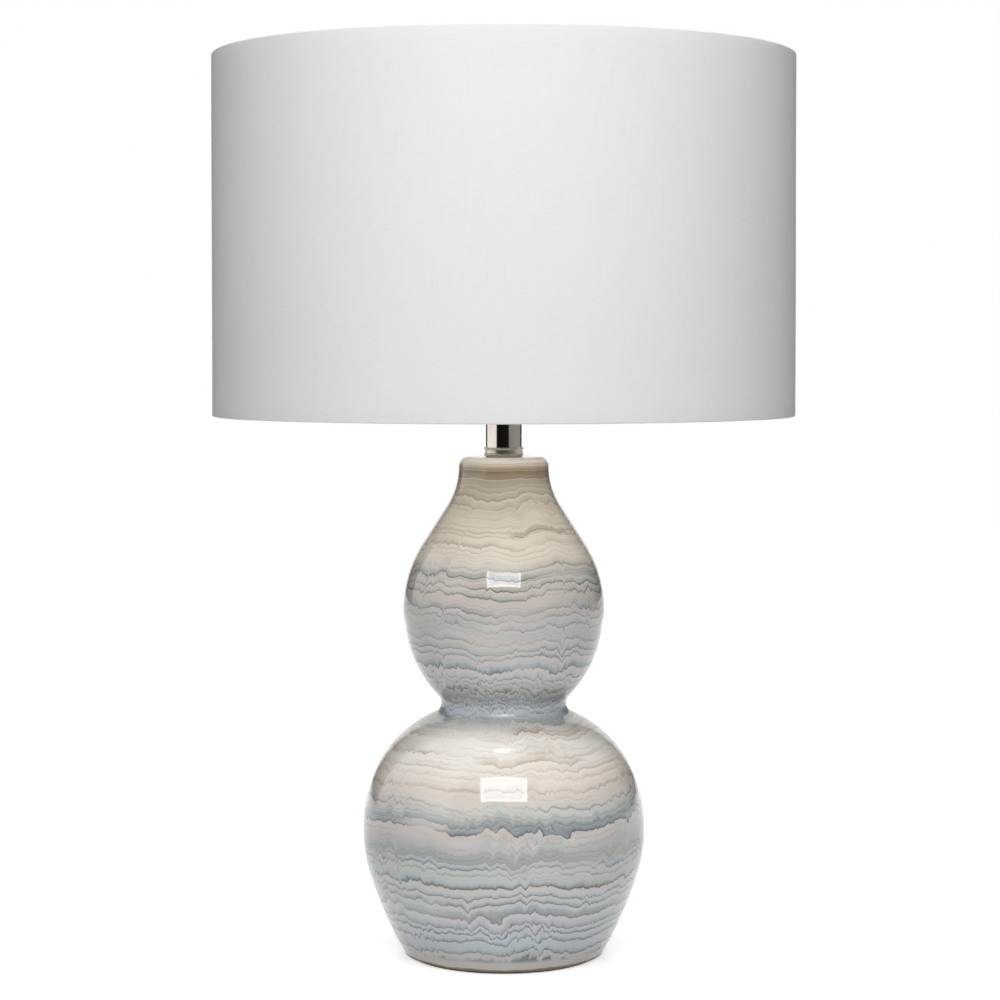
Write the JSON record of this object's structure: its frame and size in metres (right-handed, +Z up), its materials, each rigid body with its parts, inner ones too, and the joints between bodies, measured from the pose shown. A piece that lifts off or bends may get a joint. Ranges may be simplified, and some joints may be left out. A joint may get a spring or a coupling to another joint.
{
  "type": "table lamp",
  "caption": "Double gourd ceramic table lamp with a banded glaze, a short polished neck and a plain linen drum shade on a harp",
  "frame": {"origin": "the middle of the felt foot, on the table", "axes": "+Z up the lamp's axis, -Y to the front, where the switch knob is, +Y to the back, where the cord leaves"},
  "size_m": [0.4319, 0.432, 0.6831],
  "materials": {
    "felt": "dark pressed felt",
    "glaze": "glossy reactive glaze in wavy bands of cream, sage, slate blue and brown",
    "grommet": "black moulded rubber",
    "steel": "zinc plated steel",
    "nickel": "polished nickel plate",
    "satin_nickel": "satin nickel plate",
    "gasket": "clear soft washer",
    "socket_metal": "plated sheet brass",
    "card": "pressed insulating card",
    "phenolic": "moulded phenolic",
    "brass": "bare brass",
    "black_plastic": "moulded black plastic",
    "bulb_glass": "frosted glass",
    "bulb_metal": "drawn aluminium",
    "bulb_black": "black glass insulator",
    "linen": "plain weave off-white linen with fine slubs",
    "styrene": "white styrene sheet",
    "white_wire": "white painted wire"
  },
  "bodies": {
    "root": {"felt_pad": "felt", "gourd_body": "glaze", "cord_grommet": "grommet", "threaded_pipe": "steel", "bottom_washer": "steel", "lock_washer": "steel", "bottom_nut": "steel", "neck_gasket": "gasket", "neck_ring": "satin_nickel", "neck_tube": "nickel", "neck_cap": "nickel", "harp_saddle": "nickel", "socket_cap": "nickel", "cap_set_screw": "steel", "socket_shell": "nickel", "socket_liner": "card", "socket_core": "phenolic", "screw_shell": "socket_metal", "centre_contact": "brass", "terminal_screws": "brass", "switch_bushing": "brass"},
    "switch": {"switch_shaft": "brass", "switch_knob": "black_plastic"},
    "bulb": {"bulb_glass": "bulb_glass", "bulb_cap": "bulb_metal", "bulb_insulator": "bulb_black", "bulb_contact": "bulb_metal"},
    "harp": {"harp_loop": "nickel"},
    "left_ferrule": {"left_ferrule": "nickel"},
    "right_ferrule": {"right_ferrule": "nickel"},
    "harp_stud": {"harp_stud": "nickel"},
    "shade": {"shade_fabric": "linen", "shade_liner": "styrene", "shade_top_ring": "white_wire", "shade_bottom_ring": "white_wire", "shade_spider": "white_wire"},
    "finial": {"finial": "nickel"}
  },
  "joints": [
    {"name": "switch_turn", "type": "hinge", "parent": "root", "child": "switch", "pos_m": [0, -0.025, 0.4644], "axis": [0, -1, 0], "continuous": true},
    {"name": "bulb_lift", "type": "slide", "parent": "root", "child": "bulb", "axis": [0, 0, 1], "range_m": [0, 0.05]},
    {"name": "harp_lift", "type": "slide", "parent": "root", "child": "harp", "axis": [0, 0, 1], "range_m": [0, 0.016]},
    {"name": "left_ferrule_slide", "type": "slide", "parent": "harp", "child": "left_ferrule", "axis": [0, 0, 1], "range_m": [0, 0.02]},
    {"name": "right_ferrule_slide", "type": "slide", "parent": "harp", "child": "right_ferrule", "axis": [0, 0, 1], "range_m": [0, 0.02]},
    {"name": "shade_swivel", "type": "hinge", "parent": "harp", "child": "harp_stud", "pos_m": [0, 0, 0.65], "axis": [0, 0, 1], "continuous": true},
    {"name": "shade_lift", "type": "slide", "parent": "harp_stud", "child": "shade", "axis": [0, 0, 1], "range_m": [0, 0.27]},
    {"name": "finial_lift", "type": "slide", "parent": "shade", "child": "finial", "axis": [0, 0, 1], "range_m": [0, 0.03]}
  ]
}
